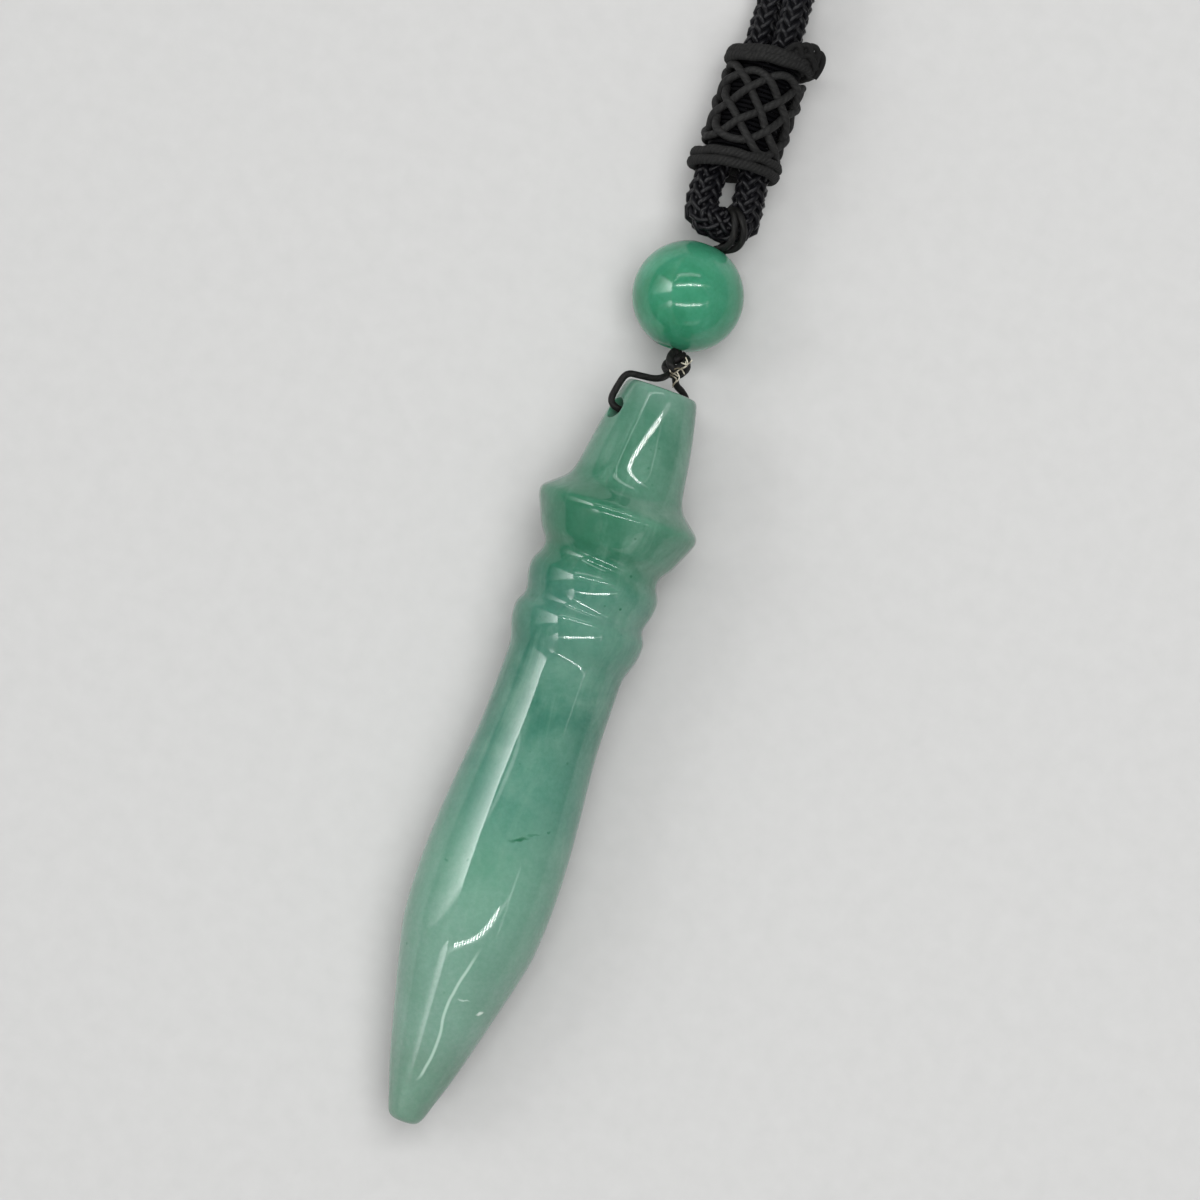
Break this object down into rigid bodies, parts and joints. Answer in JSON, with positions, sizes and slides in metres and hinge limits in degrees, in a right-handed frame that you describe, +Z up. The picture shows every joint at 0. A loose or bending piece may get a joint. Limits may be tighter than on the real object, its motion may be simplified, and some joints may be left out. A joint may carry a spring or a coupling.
{
  "type": "crystal pendant necklace",
  "caption": "Turned green crystal drop hung by a thin black thread and a round bead from a folded braided cord with a woven sleeve, laid flat.",
  "frame": {"origin": "middle of the necklace's footprint on the surface that it lies on", "axes": "+Y up the stone's axis towards the cord, +X to the right of it seen from above, +Z up from the surface"},
  "size_m": [0.1452, 0.3396, 0.0118],
  "materials": {
    "stone": "polished, slightly translucent",
    "bead": "polished, slightly translucent",
    "thread": "waxed black thread",
    "cord": "fine round braid with a soft sheen",
    "sleeve": "satin strand, woven",
    "join": "plain wound thread"
  },
  "bodies": {
    "root": {"pendant_stone": "stone", "bead": "bead", "thread_knot": "thread", "fold_thread": "thread", "stone_thread": "thread", "cord_left": "cord", "cord_right": "cord", "sleeve_lower_ring": "sleeve", "sleeve_weave": "sleeve", "sleeve_upper_ring": "sleeve", "back_join": "join"}
  },
  "joints": []
}
